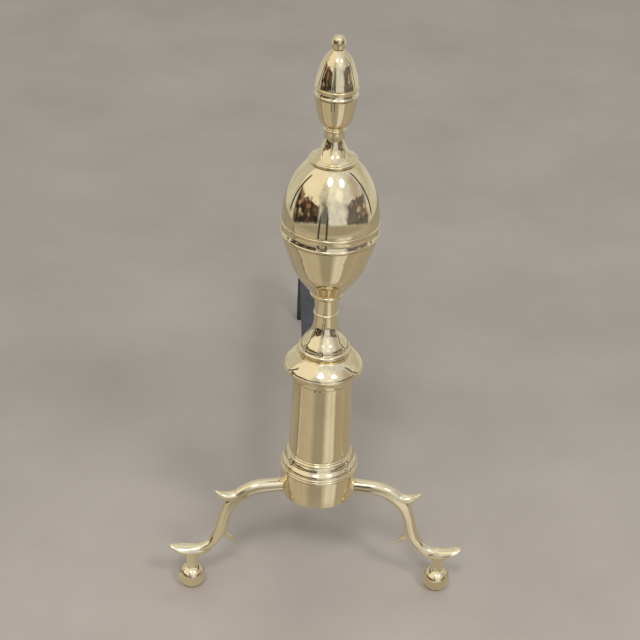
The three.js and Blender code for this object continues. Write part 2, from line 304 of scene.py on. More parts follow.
def iron(name):
    """Forged bar: dark scale with a bluish sheen, worn and slightly rusty."""
    mat, nt, bsdf = node_tree(name)
    co = new(nt, "ShaderNodeTexCoord").outputs["Object"]
    bsdf.inputs["Metallic"].default_value = 0.35
    bsdf.inputs["Specular IOR Level"].default_value = 0.5
    patch = noise(nt, mapping(nt, co, location=(0.4, 2.2, 3.1)), 34.0, 6.0, 0.65)
    fine = noise(nt, mapping(nt, co, location=(4.4, 0.2, 1.1)), 420.0, 4.0, 0.6)
    mixed = math_node(nt, "ADD", math_node(nt, "MULTIPLY", patch, 0.7), math_node(nt, "MULTIPLY", fine, 0.3))
    colour = ramp(nt, mixed, [(0.30, (0.030, 0.030, 0.034)), (0.48, (0.062, 0.065, 0.075)), (0.60, (0.088, 0.091, 0.104)), (0.70, (0.075, 0.058, 0.046)), (0.80, (0.115, 0.060, 0.032))])
    nt.links.new(colour, bsdf.inputs["Base Color"])
    rough = ramp(nt, fine, [(0.30, (0.38,) * 3), (0.55, (0.52,) * 3), (0.80, (0.74,) * 3)])
    nt.links.new(rough, bsdf.inputs["Roughness"])
    bump_chain(nt, bsdf, [(noise(nt, co, 70.0, 2.0, 0.5), 0.45, 0.0012), (fine, 0.35, 0.0002)])
    return mat


def steel(name):
    """Plain rod and nut: dull, slightly stained steel."""
    mat, nt, bsdf = node_tree(name)
    co = new(nt, "ShaderNodeTexCoord").outputs["Object"]
    bsdf.inputs["Metallic"].default_value = 1.0
    cloud = noise(nt, co, 120.0, 4.0, 0.6)
    colour = ramp(nt, cloud, [(0.30, (0.20, 0.18, 0.16)), (0.50, (0.36, 0.35, 0.34)), (0.72, (0.46, 0.45, 0.44))])
    nt.links.new(colour, bsdf.inputs["Base Color"])
    rough = ramp(nt, cloud, [(0.3, (0.55,) * 3), (0.7, (0.34,) * 3)])
    nt.links.new(rough, bsdf.inputs["Roughness"])
    bump_chain(nt, bsdf, [(noise(nt, co, 800.0, 3.0, 0.6), 0.25, 0.00008)])
    return mat


BRASS_TURNED = brass("brass_turned", True)
BRASS_CAST = brass("brass_cast", False)
IRON = iron("forged_iron")
STEEL = steel("dull_steel")


# --------------------------------------------------------------- turned column
def turned(name, outline, seg=SEG, edge=0.22, cx=0.0, cy=COL_Y, material=None, slot="brass_polished"):
    ob = finish_mesh(lathe_bm(outline, seg, cx, cy), name + "_fine")
    if edge:
        bevel(ob, edge)
        bake_modifiers(ob, 40)
    return place(ob, name, material or BRASS_TURNED)


turned("finial_ball", [(0, 541.2), (1.9, 541.2), (1.9, 547.5), (4.7, 547.5)] + catmull([
    (4.95, 547.75), (5.3, 548.7), (5.55, 550.1), (5.7, 551.9), (5.62, 553.7), (5.25, 555.5), (4.5, 557.0), (3.2, 558.2), (1.7, 558.8), (0, 559.0)]), edge=0.12)

turned("small_lemon_top", [(0, 530), (BORE, 530), (BORE, 519.4), (14.5, 519.4), (14.5, 516.9)] + catmull([
    (17.7, 516.9), (17.38, 519.3), (16.9, 522.2), (16.15, 525.4), (15.3, 528.5), (14.4, 531.6), (13.4, 534.6), (12.15, 537.7), (10.4, 540.8), (7.9, 543.8), (4.5, 547.2)])
    + [(2.3, 547.2), (2.3, 540.6), (0, 540.6)])

turned("small_lemon_band", [(9.5, 504.8), (13.9, 504.8), (13.9, 507.9), (17.1, 507.9)]
    + arc(16.95, 509.2, 1.3, -80, 52, 11) + catmull([(17.62, 510.45), (17.3, 511.3), (17.1, 512.1), (17.02, 512.9), (17.2, 513.7), (17.5, 514.15)], 3)
    + arc(16.95, 515.2, 1.3, -48, 80, 11) + [(17.1, 516.6), (13.9, 516.6), (13.9, 518.8), (9.5, 518.8)], edge=0.1)

turned("small_lemon_bottom", [(BORE, 480.6), (8.5, 480.6)] + catmull([
    (8.9, 480.7), (10.7, 482.1), (12.4, 484.1), (13.75, 486.9), (14.8, 490.4), (15.65, 494.3), (16.35, 498.3), (16.95, 502.8), (17.4, 507.6)])
    + [(14.5, 507.6), (14.5, 504.2), (BORE, 504.2)])

turned("finial_socle", [(BORE, 449.4), (20.2, 449.4)] + arc(19.6, 451.1, 1.45, -70, 95, 11) + [(19.1, 452.6), (18.9, 453.0)] + catmull([
    (18.7, 453.3), (16.6, 454.6), (14.5, 456.4), (12.6, 458.6), (11.0, 461.2), (9.7, 464.3), (8.85, 467.6), (8.4, 470.6), (8.25, 473.2), (8.25, 475.6)])
    + [(8.45, 476.5)] + arc(8.2, 478.3, 1.3, -75, 75, 9) + [(8.4, 479.9), (8.2, 480.3), (BORE, 480.3)], edge=0.14)

turned("large_lemon_top", [(BORE, 446.0), (BORE, 449.1), (19.6, 449.1)] + list(reversed(bulge(42.3, 69.9, 2.364, 1.615, 389.2, 1, 395.8, 448.95, 40)))
    + [(39.0, 395.8), (38.4, 402.2), (37.2, 411.6), (33.0, 425.2), (26.0, 438.0), (17.9, 446.0)])

turned("large_lemon_band", [(34.6, 378.2), (36.8, 378.2), (37.9, 381.9), (41.2, 381.9)]
    + arc(41.15, 383.5, 1.6, -80, 58, 13) + catmull([(41.98, 385.15), (41.62, 386.2), (41.3, 387.4), (41.1, 388.8), (41.05, 390.2), (41.25, 391.6), (41.7, 392.6)], 3)
    + arc(41.15, 394.0, 1.5, -48, 80, 13) + [(41.3, 395.55), (38.6, 395.5), (37.6, 399.4), (34.6, 399.4)], edge=0.1)

turned("large_lemon_bottom", [(BORE, 328.6), (13.6, 328.6), (21.0, 337.0), (28.0, 347.5), (31.8, 359.5), (35.6, 371.0), (38.3, 381.6)]
    + catmull([(41.7, 381.6), (41.3, 379.6), (40.65, 376.8), (39.6, 373.0), (38.4, 369.2), (37.2, 365.2), (35.9, 361.2), (34.6, 357.2), (33.2, 353.2),
               (31.65, 349.2), (29.8, 345.4), (27.6, 341.6), (25.2, 338.0), (22.7, 334.6), (20.2, 331.2), (17.9, 328.0), (16.0, 325.4), (15.2, 324.5)])
    + [(BORE, 324.5)])

turned("neck_collar", [(BORE, 318.5), (11.9, 318.5), (12.3, 318.9), (12.35, 319.6)] + arc(13.2, 321.7, 1.95, -75, 75, 11)
    + [(13.8, 323.9), (13.8, 324.2), (BORE, 324.2)], edge=0.14)

turned("neck_spool", [(BORE, 262.2), (22.2, 262.2)] + arc(21.4, 264.8, 2.6, -65, 80, 15) + [(21.75, 267.6), (21.35, 268.3)] + catmull([
    (21.25, 269.0), (20.9, 270.7), (20.0, 272.6), (18.4, 274.9), (16.5, 277.3), (14.7, 279.9), (13.1, 282.7), (11.9, 285.6), (11.0, 288.8), (10.4, 292.4), (10.15, 296.0), (10.2, 299.4)])
    + [(10.3, 300.0)] + arc(9.7, 301.6, 1.5, -68, 68, 11) + [(10.3, 303.2)] + catmull([(10.25, 303.8), (10.15, 306.5), (10.25, 309.6), (10.6, 312.8), (11.1, 315.6), (11.7, 317.9)])
    + [(11.7, 318.2), (BORE, 318.2)], edge=0.14)

turned("capital", [(BORE, 258.0), (16.0, 257.0), (23.0, 250.5), (22.6, 243.0), (20.6, 239.0), (20.6, 229.8), (23.9, 229.8), (23.9, 234.8), (27.2, 234.8)]
    + catmull([(27.2, 235.0), (27.55, 237.3), (28.4, 239.8), (29.9, 242.3), (32.0, 244.4), (34.3, 245.9)])
    + [(34.7, 246.1)] + arc(34.75, 247.65, 1.6, -80, 50, 13)
    + catmull([(35.72, 249.0), (35.62, 249.7), (35.05, 250.95), (33.65, 252.9), (31.35, 255.35), (28.65, 257.85), (26.3, 259.65), (24.9, 260.6)])
    + [(24.6, 261.2), (24.3, 261.9), (BORE, 261.9)], edge=0.18)

turned("column_tube", [(26.4, 155.0)] + catmull([(28.9, 155.0), (28.4, 175.0), (28.0, 195.0), (27.55, 214.6), (27.1, 234.5)], 5) + [(24.5, 234.5), (25.5, 195.0)], edge=0.25)

turned("base_moulding", [(BORE, 135.4), (35.6, 135.4)] + arc(35.3, 136.5, 1.0, -80, 60, 7) + [(35.55, 137.7)] + arc(35.1, 138.8, 1.05, -60, 80, 7)
    + catmull([(35.0, 140.3), (35.0, 141.6), (34.3, 143.3), (32.9, 144.7), (31.8, 146.2), (31.2, 148.0), (30.5, 149.3)])
    + arc(29.5, 151.0, 1.25, -65, 60, 9) + arc(28.6, 153.3, 0.95, -45, 80, 8)
    + [(28.6, 154.5), (25.8, 154.7), (25.8, 160.0), (22.4, 160.0), (22.4, 139.4), (BORE, 139.4)], edge=0.14)


# ------------------------------------------------------------------------ drum
ARM_Z, ARM_R, LEG_T = 112.4, 7.0, 12.6
SPLAY = math.radians(9.3)
TURN = {"right": -SPLAY, "left": math.pi + SPLAY}


def about_column(ob, angle):
    ob.data.transform(Matrix.Translation((0, COL_Y * MM, 0)) @ Matrix.Rotation(angle, 4, "Z"))


def prism(name, outline, x0, x1):
    """Outline in [y, z], pushed along x. Drawn round the column axis."""
    bm = bmesh.new()
    a = [bm.verts.new((x0 * MM, y * MM, z * MM)) for y, z in outline]
    b = [bm.verts.new((x1 * MM, y * MM, z * MM)) for y, z in outline]
    bm.faces.new(a)
    bm.faces.new(list(reversed(b)))
    n = len(a)
    for i in range(n):
        j = (i + 1) % n
        bm.faces.new((a[j], a[i], b[i], b[j]))
    return finish_mesh(bm, name)


drum = finish_mesh(lathe_bm([
    (BORE, 131.9), (30.7, 131.9), (32.2, 130.4), (32.2, 107.7), (34.9, 107.7), (35.25, 107.9), (35.4, 108.4), (35.4, 134.3), (35.2, 134.9), (34.7, 135.1), (BORE, 135.1),
]), "drum_fine")
half, top = LEG_T / 2 + 0.8, ARM_Z + ARM_R + 0.8
for side in ("left", "right"):
    arch = [(-half, 100), (half, 100), (half, top - 3.2)]
    arch += [(half - 3.2 + 3.2 * math.cos(a), top - 3.2 + 3.2 * math.sin(a)) for a in [math.radians(k * 15) for k in range(1, 7)]]
    arch += [(-half + 3.2 + 3.2 * math.cos(a), top - 3.2 + 3.2 * math.sin(a)) for a in [math.radians(90 + k * 15) for k in range(0, 7)]]
    cut = prism("cut", arch, 20, 50)
    about_column(cut, TURN[side])
    boolean(drum, cut, "DIFFERENCE")
slot_cut = prism("cut", [(-11.6, 100), (11.6, 100), (11.6, 119.1), (-11.6, 119.1)], 20, 50)
about_column(slot_cut, math.pi / 2)
boolean(drum, slot_cut, "DIFFERENCE")
bevel(drum, 0.3, 40)
bake_modifiers(drum, 40)
place(drum, "drum", BRASS_TURNED)


# ------------------------------------------------------------------------ legs
def section(arris=-0.17, belly=0.0):
    """Rounded outside, a quirk, a raised arris, then a long facet to a blunt keel. [across, outward]"""
    s = arris + 0.17
    half_pts = catmull([(0.0, 1.0), (0.36, 0.955), (0.66, 0.80), (0.85, 0.56), (0.92, 0.30 + s / 2), (0.93, 0.06 + s)], 3)
    half_pts += [(0.94, -0.01 + s), (0.98, -0.07 + s)]
    half_pts += catmull([(1.0, -0.13 + s), (0.99, -0.24 + s), (0.955, -0.35 + s), (0.90, -0.44 + s)], 3)
    half_pts += catmull([(0.84, -0.50 + s), (0.62 - belly, -0.72 + s / 2), (0.38 - belly, -0.93), (0.2, -0.985), (0.0, -1.0)], 3)
    pts = [(a, b) for a, b in half_pts]
    pts += [(-a, b) for a, b in reversed(half_pts[1:-1])]
    return pts


def horn(count=28):
    return [(math.sin(2 * math.pi * k / count), math.cos(2 * math.pi * k / count)) for k in range(count)]


def sweep(name, stations, shape, fine=5, angle=30):
    """stations: (rho, z) outer, (rho, z) inner, half width; the section stands between the two edges."""
    outer = catmull([s[0] for s in stations], fine)
    inner = catmull([s[1] for s in stations], fine)
    width = catmull([(i, s[2]) for i, s in enumerate(stations)], fine)
    bm = bmesh.new()
    rings = []
    for (o, i, w) in zip(outer, inner, width):
        o, i = Vector(o), Vector(i)
        c, h = (o + i) / 2, (o - i) / 2
        ring = []
        for a, b in shape:
            p = c + h * b
            ring.append(bm.verts.new((p.x * MM, a * w[1] * MM, p.y * MM)))
        rings.append(ring)
    n = len(shape)
    for r0, r1 in zip(rings[:-1], rings[1:]):
        for k in range(n):
            j = (k + 1) % n
            bm.faces.new((r0[k], r0[j], r1[j], r1[k]))
    bm.faces.new(rings[0])
    bm.faces.new(list(reversed(rings[-1])))
    return finish_mesh(bm, name, angle)


MAIN = [
    ((15.5, 119.4), (15.5, 105.4), 6.3), ((30, 119.4), (30, 105.4), 6.3), ((44, 119.4), (44, 105.4), 6.25), ((54, 119.3), (52, 105.1), 6.2),
    ((62.5, 118.0), (59.5, 103.7), 6.1), ((70.9, 114.9), (65.8, 101.0), 5.9), ((78.4, 110.2), (71.3, 97.2), 5.7), ((84.4, 104.6), (76.3, 92.2), 5.5),
    ((88.6, 98.2), (80.2, 86.6), 5.4), ((91.6, 90.4), (82.7, 80.4), 5.35), ((94.0, 82.4), (84.1, 74.3), 5.3), ((95.9, 74.6), (85.1, 68.4), 5.2),
    ((97.8, 67.0), (86.9, 62.2), 5.15), ((100.7, 59.2), (90.0, 56.0), 5.05), ((104.9, 53.0), (95.0, 49.8), 4.95), ((109.6, 49.3), (100.2, 43.4), 5.0),
    ((114.2, 47.6), (106.6, 38.6), 5.2), ((119.0, 46.8), (113.6, 36.2), 5.4), ((123.2, 46.4), (120.2, 35.6), 5.2), ((125.6, 45.4), (124.6, 37.6), 4.0),
]
SPUR_OUT = [
    ((76, 110.0), (77, 100.0), 5.3), ((82.8, 108.4), (84.8, 99.0), 5.2), ((87.0, 108.4), (89.6, 99.9), 4.8), ((90.7, 109.2), (92.9, 102.3), 4.0),
    ((93.9, 110.5), (95.7, 105.8), 3.0), ((96.3, 111.6), (97.5, 108.9), 1.9), ((97.7, 112.2), (98.2, 111.4), 0.8), ((98.2, 112.4), (98.4, 112.1), 0.3),
]
SPUR_IN = [
    ((95.2, 66.5), (87.4, 69.6), 4.1), ((93.0, 60.6), (85.8, 64.3), 3.8), ((89.8, 56.4), (84.3, 60.1), 3.3), ((86.4, 53.4), (82.4, 56.6), 2.7),
    ((83.1, 51.0), (80.4, 53.7), 2.15), ((80.2, 49.0), (78.6, 51.1), 1.5), ((78.4, 48.1), (77.7, 49.5), 0.9), ((77.7, 48.2), (77.5, 48.8), 0.35),
]
TOE = [  # distance, middle height, half width, half thickness
    (101.5, 44.0, 3.2, 2.8), (105.5, 42.7, 4.5, 4.4), (110, 41.9, 5.5, 5.2), (115, 41.8, 6.2, 5.3), (120, 42.4, 6.9, 5.1), (125, 43.6, 7.3, 4.7), (129.5, 44.9, 7.2, 4.25),
    (133.5, 46.3, 6.6, 3.65), (137, 47.6, 5.5, 3.0), (139.7, 48.7, 4.0, 2.25), (141.2, 49.4, 2.4, 1.45), (142.0, 49.8, 0.9, 0.6),
]


def toe_mesh():
    """Slipper toe: a plump leaf with a quirk along each side of its top."""
    side = catmull([(0.42, 0.90), (0.50, 0.87), (0.64, 0.70), (0.78, 0.47), (0.90, 0.22), (0.98, -0.05), (1.0, -0.30), (0.94, -0.56), (0.76, -0.80), (0.44, -0.95), (0.0, -1.0)], 2)
    cols = [(0, 0.96), (0.15, 0.94), (0.27, 0.88), (0.345, 0.66)] + side
    cols = cols + [(-u, v) for u, v in reversed(cols[1:-1])]
    keys = [catmull([(i, t[j]) for i, t in enumerate(TOE)], 5) for j in range(4)]
    bm = bmesh.new()
    rings = []
    for a, b, c, d in zip(*keys):
        x, z, w, h = a[1], b[1], c[1], d[1]
        rings.append([bm.verts.new(((x) * MM, u * w * MM, (z + v * h) * MM)) for u, v in cols])
    n = len(cols)
    for r0, r1 in zip(rings[:-1], rings[1:]):
        for k in range(n):
            j = (k + 1) % n
            bm.faces.new((r0[k], r1[k], r1[j], r0[j]))
    bm.faces.new(list(reversed(rings[0])))
    bm.faces.new(rings[-1])
    return finish_mesh(bm, "toe", 30)


LUG_Z = {"right": 105.7, "left": 110.2}
LUG_T = 4.2
RHO = 120.2
BALL = 12.7
for side in ("left", "right"):
    z0 = LUG_Z[side]
    leg = sweep("leg_" + side + "_fine", MAIN, section(), 5, 26)
    for extra in (
        sweep("s1", SPUR_OUT, horn(), 6),
        sweep("s2", SPUR_IN, section(0.22, 0.06), 6, 26),
        toe_mesh(),
        finish_mesh(lathe_bm([(0, 16.6), (2.9, 16.6), (2.9, 24.4), (5.9, 24.4)] + catmull([(6.1, 24.8), (5.95, 26.0), (5.6, 28.0), (5.5, 30.6), (5.8, 33.4), (6.3, 36.6)]) + [(6.3, 40.0), (0, 40.0)], 72, RHO, 0), "stem"),
        finish_mesh(lathe_bm([(BORE, z0), (13.0, z0), (13.0, z0 + LUG_T), (BORE, z0 + LUG_T)], 72, 0, 0), "lug"),
        prism("tongue", [(-5.2, z0), (5.2, z0), (5.2, z0 + LUG_T), (-5.2, z0 + LUG_T)], 6.4, 22),
    ):
        boolean(leg, extra, "UNION")
    about_column(leg, TURN[side])
    bake_modifiers(leg, 30)
    place(leg, "leg_" + side, BRASS_CAST)

    cx, cy = RHO * math.cos(TURN[side]), COL_Y + RHO * math.sin(TURN[side])
    c = math.sqrt(BALL ** 2 - 3.4 ** 2)
    a0 = math.degrees(math.acos(5.4 / BALL))
    a1 = -math.degrees(math.acos(3.4 / BALL))
    rim = c + BALL * math.sin(math.radians(a0)) + 0.35
    ball = finish_mesh(lathe_bm([(0, 16.2), (3.3, 16.2), (3.3, rim), (5.2, rim)]
        + arc(0, c, BALL, a0, a1, 40) + [(3.4, 0), (0, 0)], 96, cx, cy), "ball_foot_" + side + "_fine")
    place(ball, "ball_foot_" + side, BRASS_TURNED)


# ------------------------------------------------------------------------- bar
def bar_mesh():
    W, T, TOP, Y0, Y1, R = 25.4, 16.5, 120.0, 37.4, 483.0, 15.0
    cy, cz = Y1 - T - R, TOP - T - R
    path = []  # (y, z) of the outer face, and the inward direction
    y = Y0
    while y < cy - 1e-6:
        path.append(((y, TOP), (0, -1)))
        y += 5.0
    for k in range(0, 15):
        a = math.pi / 2 * (1 - k / 14)
        path.append(((cy + (R + T) * math.cos(a), cz + (R + T) * math.sin(a)), (-math.cos(a), -math.sin(a))))
    z = cz - 4.0
    while z > 4.0:
        path.append(((Y1, z), (-1, 0)))
        z -= 4.5
    path.append(((Y1, 0.0), (-1, 0)))
    # rounded rectangle: across -W/2..W/2, depth 0..T
    r = 1.5
    rect = []
    for cx_, d_, a_ in ((W / 2 - r, r, -90), (W / 2 - r, T - r, 0), (-W / 2 + r, T - r, 90), (-W / 2 + r, r, 180)):
        for k in range(5):
            a = math.radians(a_ + 22.5 * k)
            rect.append((cx_ + r * math.cos(a), d_ + r * math.sin(a)))
        # stations along the flat that follows
    dense = []
    for i, p in enumerate(rect):
        q = rect[(i + 1) % len(rect)]
        dense.append(p)
        gap = math.hypot(q[0] - p[0], q[1] - p[1])
        steps = int(gap // 4)
        for k in range(1, steps + 1):
            t = k / (steps + 1)
            dense.append((p[0] + (q[0] - p[0]) * t, p[1] + (q[1] - p[1]) * t))
    from mathutils import noise as mn
    bm = bmesh.new()
    rings = []
    for (oy, oz), (dy, dz) in path:
        ring = []
        for x, d in dense:
            p = Vector((x, oy + dy * d, oz + dz * d))
            flat = oz < 0.01
            # the hammer leaves shallow hollows: points only move inwards
            k = 0.32 * max(0.0, mn.noise(p * 0.045 + Vector((3.1, 0.7, 5.2)))) + 0.12 * max(0.0, mn.noise(p * 0.16))
            k = 0.0 if flat else k
            m = Vector((0, oy + dy * T / 2, oz + dz * T / 2))
            v = (p - m)
            v.normalize()
            p -= v * k
            ring.append(bm.verts.new((p.x * MM, (p.y + COL_Y) * MM, p.z * MM)))
        rings.append(ring)
    n = len(dense)
    for r0, r1 in zip(rings[:-1], rings[1:]):
        for k in range(n):
            j = (k + 1) % n
            bm.faces.new((r0[k], r1[k], r1[j], r0[j]))
    bm.faces.new(list(reversed(rings[0])))
    bm.faces.new(rings[-1])
    return finish_mesh(bm, "billet_bar_fine", 40)


bar = bar_mesh()
tenon = prism("tenon", [(-11, 114.8), (11, 114.8), (11, 118.5), (-11, 118.5)], -12, 41.4)
about_column(tenon, math.pi / 2)
boolean(bar, tenon, "UNION")
bore = finish_mesh(lathe_bm([(0, 100), (BORE, 100), (BORE, 130), (0, 130)], 64, 0, COL_Y), "bore")
boolean(bar, bore, "DIFFERENCE")
bevel(bar, 0.6, 50)
bake_modifiers(bar, 40)
place(bar, "billet_bar", IRON)


# --------------------------------------------------- rod, nut, washer, spacer
def thread(r, z0, z1, pitch=1.5, depth=0.75):
    pts = []
    z = z0
    while z < z1 - pitch / 2:
        pts += [(r - depth, z), (r - 0.08, z + pitch * 0.42), (r - 0.08, z + pitch * 0.58)]
        z += pitch
    return pts + [(r - depth, min(z, z1))]


turned("tie_rod", [(0, 90.6), (3.7, 90.6)] + thread(4.75, 91.2, 128.0) + [(4.75, 129.0), (4.75, 500.0)] + thread(4.75, 500.4, 527.0) + [(3.9, 528.2), (0, 528.6)],
       seg=40, edge=0, material=STEEL, slot="steel_plain")
turned("clamp_washer", [(BORE, 103.2), (11.7, 103.2), (12, 103.5), (12, 105.1), (11.7, 105.4), (BORE, 105.4)], seg=96, edge=0.1, material=STEEL, slot="steel_plain")
turned("drum_spacer", [(BORE, 118.8), (9, 118.8), (9, 131.6), (BORE, 131.6)], seg=72, edge=0.3, material=STEEL, slot="steel_plain")

nut = prism("tie_rod_nut_fine", [(17 / math.sqrt(3) * math.cos(math.radians(60 * k)), 17 / math.sqrt(3) * math.sin(math.radians(60 * k))) for k in range(6)], 95.0, 102.9)
nut.data.transform(Matrix(((0, 1, 0, 0), (0, 0, 1, COL_Y * MM), (1, 0, 0, 0), (0, 0, 0, 1))))
cone = finish_mesh(lathe_bm([(0, 95.0), (8.4, 95.0), (9.9, 95.95), (9.9, 101.95), (8.4, 102.9), (0, 102.9)], 72), "cone")
boolean(nut, cone, "INTERSECT")
hole = finish_mesh(lathe_bm([(0, 90), (BORE, 90), (BORE, 110), (0, 110)], 48), "hole")
boolean(nut, hole, "DIFFERENCE")
bake_modifiers(nut, 25)
place(nut, "tie_rod_nut", STEEL)


# ------------------------------------------------------ floor, light and camera
def disc(name, r0, r1, material, count=96):
    bm = bmesh.new()
    outer = [bm.verts.new((r1 * math.cos(2 * math.pi * k / count), r1 * math.sin(2 * math.pi * k / count) - 0.1, 0)) for k in range(count)]
    if r0 == 0:
        bm.faces.new(outer)
    else:
        inner = [bm.verts.new((r0 * math.cos(2 * math.pi * k / count), r0 * math.sin(2 * math.pi * k / count) - 0.1, 0)) for k in range(count)]
        for k in range(count):
            j = (k + 1) % count
            bm.faces.new((inner[k], outer[k], outer[j], inner[j]))
    me = bpy.data.meshes.new(name)
    bm.to_mesh(me)
    bm.free()
    me.materials.append(material)
    ob = bpy.data.objects.new(name, me)
    bpy.context.scene.collection.objects.link(ob)
    return ob


def floor_material():
    mat, nt, bsdf = node_tree("floor_pale")
    co = new(nt, "ShaderNodeTexCoord").outputs["Object"]
    mott = noise(nt, mapping(nt, co, location=(2.3, 0.9, 0)), 5.5, 5.0, 0.6)
    c = ramp(nt, mott, [(0.30, (0.455, 0.412, 0.358)), (0.50, (0.49, 0.445, 0.388)), (0.70, (0.525, 0.478, 0.418))])
    # painted light: the floor colour is lifted by up to 17 % towards the front, a painted pool of light
    sep = new(nt, "ShaderNodeSeparateXYZ")
    nt.links.new(co, sep.inputs[0])
    near = new(nt, "ShaderNodeMapRange", interpolation_type="SMOOTHSTEP")
    near.inputs["From Min"].default_value = 0.15
    near.inputs["From Max"].default_value = -0.45
    near.inputs["To Min"].default_value = 1.0
    near.inputs["To Max"].default_value = 1.17
    nt.links.new(sep.outputs[1], near.inputs["Value"])
    painted_light_lift = new(nt, "ShaderNodeVectorMath", operation="SCALE")
    nt.links.new(c, painted_light_lift.inputs[0])
    nt.links.new(near.outputs["Result"], painted_light_lift.inputs["Scale"])
    nt.links.new(painted_light_lift.outputs[0], bsdf.inputs["Base Color"])
    bsdf.inputs["Roughness"].default_value = 0.9
    bsdf.inputs["Specular IOR Level"].default_value = 0.2
    return mat


FLOOR = floor_material()
disc("floor_near", 0, 1.25, FLOOR)
far = disc("floor_far", 1.25, 16, FLOOR)
far.visible_glossy = False


def world():
    """Plain backdrop for the eye. For reflections a soft studio: pale panels above, grey cards at the sides, dark broken cards low in front."""
    w = bpy.data.worlds.new("studio")
    bpy.context.scene.world = w
    w.use_nodes = True
    nt = w.node_tree
    nt.nodes.clear()
    out = new(nt, "ShaderNodeOutputWorld")
    co = new(nt, "ShaderNodeTexCoord").outputs["Generated"]
    sep = new(nt, "ShaderNodeSeparateXYZ")
    nt.links.new(co, sep.inputs[0])
    x, y, z = sep.outputs
    # azimuth in degrees: 0 in front, right positive; elevation in degrees
    az = math_node(nt, "MULTIPLY", math_node(nt, "ARCTAN2", x, math_node(nt, "MULTIPLY", y, -1.0)), 180 / math.pi)
    el = math_node(nt, "MULTIPLY", math_node(nt, "ARCSINE", z), 180 / math.pi)
    polar = new(nt, "ShaderNodeCombineXYZ")
    nt.links.new(az, polar.inputs[0])
    nt.links.new(el, polar.inputs[1])
    uneven = noise(nt, mapping(nt, polar.outputs[0], scale=(0.05, 0.05, 0), location=(3.3, 1.9, 0)), 1.0, 4.0, 0.6)
    fine = noise(nt, mapping(nt, polar.outputs[0], scale=(0.08, 0.12, 0), location=(7.3, 4.9, 0)), 1.0, 4.0, 0.65)

    def above(value, at, soft):
        n = new(nt, "ShaderNodeMapRange")
        n.inputs["From Min"].default_value = at - soft / 2
        n.inputs["From Max"].default_value = at + soft / 2
        nt.links.new(value, n.inputs["Value"])
        return n.outputs["Result"]

    def between(value, lo_, hi_, soft):
        return math_node(nt, "MULTIPLY", above(value, lo_, soft), math_node(nt, "SUBTRACT", 1.0, above(value, hi_, soft)))

    def paint(under, colour, mask):
        n = new(nt, "ShaderNodeMix", data_type="RGBA")
        nt.links.new(mask, n.inputs[0])
        nt.links.new(under, n.inputs[6])
        if isinstance(colour, tuple):
            n.inputs[7].default_value = (*colour, 1)
        else:
            nt.links.new(colour, n.inputs[7])
        return n.outputs[2]

    def both(a_, b_):
        return math_node(nt, "MULTIPLY", a_, b_)

    c = ramp(nt, uneven, [(0.30, (0.50, 0.49, 0.47)), (0.70, (0.74, 0.73, 0.71))])  # sides and back
    c = paint(c, (0.86, 0.87, 0.90), above(el, 52, 12))
    front = between(az, -106, 101, 2)
    c = paint(c, ramp(nt, fine, [(0.35, (0.62, 0.66, 0.76)), (0.65, (0.86, 0.88, 0.96))]), both(front, above(el, -9, 2)))
    wavy = math_node(nt, "ADD", az, math_node(nt, "MULTIPLY", math_node(nt, "SUBTRACT", uneven, 0.5), 40.0))
    c = paint(c, (0.98, 0.93, 0.86), both(both(front, above(el, 6, 8)), math_node(nt, "SUBTRACT", 1.0, above(wavy, -31, 14))))
    c = paint(c, (0.40, 0.37, 0.34), both(math_node(nt, "MULTIPLY", between(wavy, -30, -17, 12), 0.75), between(el, -9, 47, 14)))
    c = paint(c, (0.52, 0.47, 0.45), both(between(wavy, 58, 86, 16), between(el, 12, 46, 14)))
    # broken cards: cells of dark, brown, cream and a little red
    cell = new(nt, "ShaderNodeTexVoronoi", voronoi_dimensions="2D", distance="CHEBYCHEV")
    cell.inputs["Scale"].default_value = 1.0
    cell.inputs["Randomness"].default_value = 0.9
    nt.links.new(mapping(nt, polar.outputs[0], scale=(0.16, 0.21, 0), location=(0.4, 0.2, 0)), cell.inputs["Vector"])
    pick = new(nt, "ShaderNodeSeparateColor")
    nt.links.new(cell.outputs["Color"], pick.inputs[0])
    cells = ramp(nt, pick.outputs[0], [
        (0.00, (0.034, 0.028, 0.027)), (0.32, (0.060, 0.045, 0.038)), (0.50, (0.15, 0.098, 0.068)), (0.60, (0.045, 0.040, 0.042)), (0.70, (0.34, 0.265, 0.19)),
        (0.77, (0.26, 0.075, 0.062)), (0.84, (0.065, 0.052, 0.05)), (0.96, (0.52, 0.45, 0.36))])
    top = math_node(nt, "SUBTRACT", el, math_node(nt, "MULTIPLY", math_node(nt, "SUBTRACT", fine, 0.5), 34.0))
    side_on = math_node(nt, "MULTIPLY", math_node(nt, "MULTIPLY", az, az), 11.0 / 8100)
    sill = math_node(nt, "ADD", math_node(nt, "ADD", el, side_on), math_node(nt, "MULTIPLY", math_node(nt, "SUBTRACT", uneven, 0.5), 9.0))
    cells = paint(cells, (0.030, 0.027, 0.030), math_node(nt, "MULTIPLY", both(between(sill, -12, 0, 4), above(fine, 0.40, 0.14)), 0.88))
    low = both(above(sill, -8.5, 3), math_node(nt, "SUBTRACT", 1.0, above(top, 15, 3)))
    c = paint(c, cells, both(low, between(az, -98, -31, 5)))
    c = paint(c, cells, math_node(nt, "MULTIPLY", both(low, between(wavy, 36, 92, 12)), 0.85))
    c = paint(c, (0.11, 0.13, 0.135), math_node(nt, "MULTIPLY", both(between(wavy, -25, -9, 7), both(above(el, -9, 3), math_node(nt, "SUBTRACT", 1.0, above(top, 17, 9)))), 0.9))
    # a dark upright at each side
    lean_l = math_node(nt, "SUBTRACT", az, math_node(nt, "MULTIPLY", el, 0.33))
    lean_r = math_node(nt, "ADD", az, math_node(nt, "MULTIPLY", el, 0.25))
    c = paint(c, (0.055, 0.042, 0.034), both(between(lean_l, -108.5, -103.5, 2), between(el, -14, 36, 4)))
    c = paint(c, (0.055, 0.042, 0.034), both(between(lean_r, 98.5, 103.0, 2), between(el, -14, 44, 4)))
